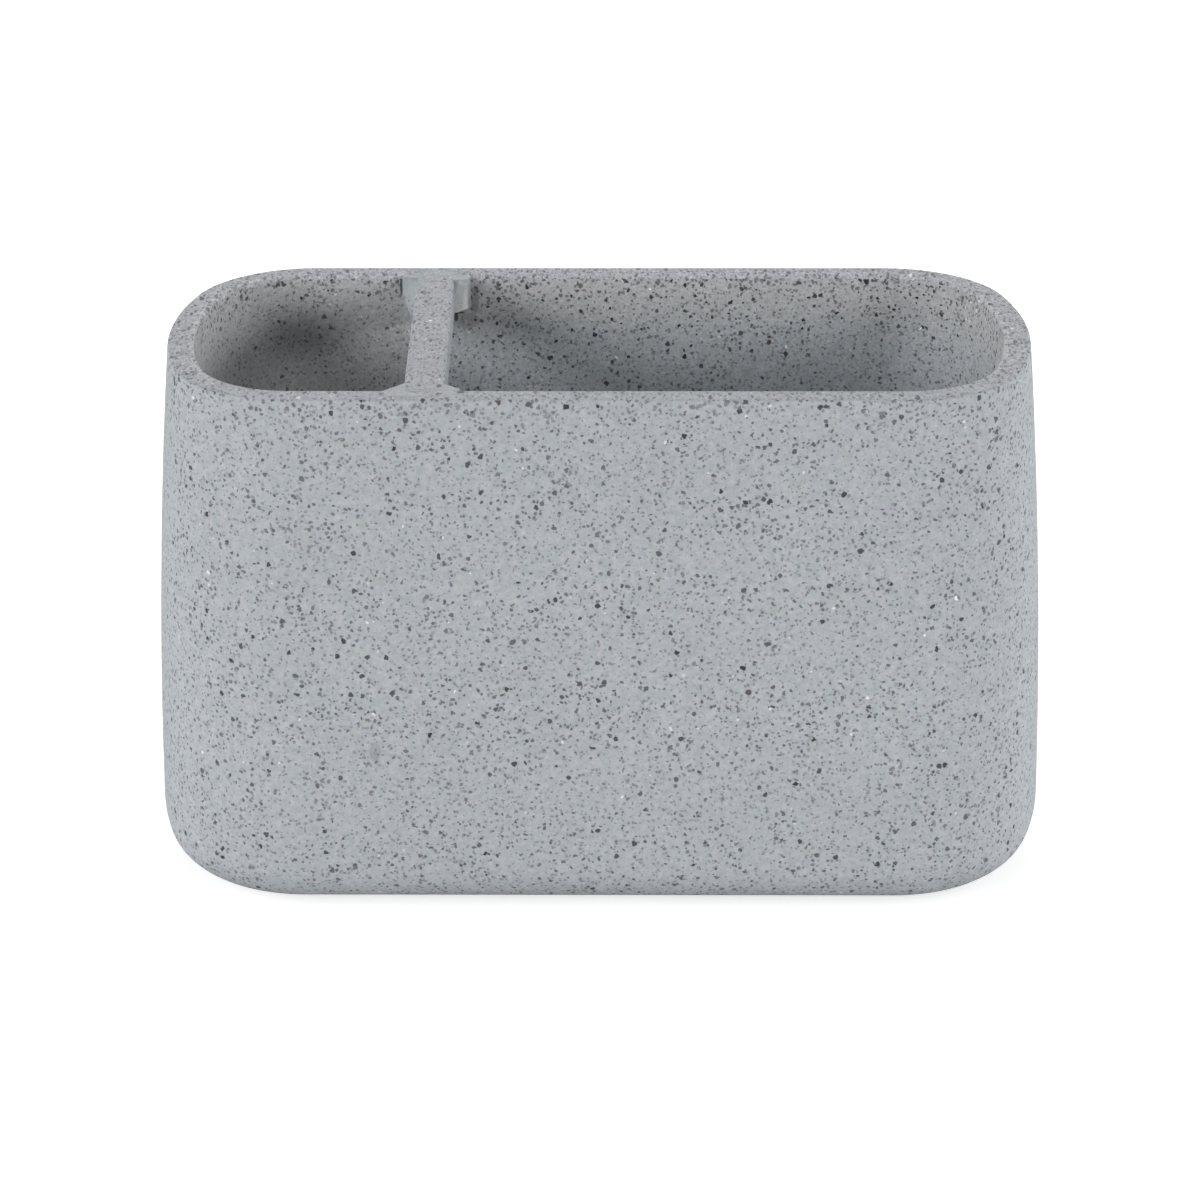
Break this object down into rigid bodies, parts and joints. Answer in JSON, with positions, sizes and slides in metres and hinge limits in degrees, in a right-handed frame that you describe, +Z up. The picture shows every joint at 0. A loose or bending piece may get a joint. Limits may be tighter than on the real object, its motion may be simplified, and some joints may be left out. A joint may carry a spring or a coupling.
{
  "type": "toothbrush holder",
  "caption": "Oblong open-topped holder of speckled cast stone with softly rounded corners; a cross bar set flush in its mouth parts a narrow side for brushes from a wide one.",
  "frame": {"origin": "on the surface that the holder stands on, below the middle of the vessel", "axes": "+X along the vessel to the right, with the narrow side at -X; +Y from the front to the back; +Z up out of the mouth"},
  "size_m": [0.1438, 0.0708, 0.085],
  "materials": {
    "cast_stone": "matte",
    "bar_stone": "matte",
    "bonding_resin": "matte",
    "grip_foam": "matte"
  },
  "bodies": {
    "root": {"vessel": "cast_stone", "cross_bar": "bar_stone", "bond_front": "bonding_resin", "bond_back": "bonding_resin", "pad_front_left": "grip_foam", "pad_front_right": "grip_foam", "pad_back_left": "grip_foam", "pad_back_right": "grip_foam"}
  },
  "joints": []
}
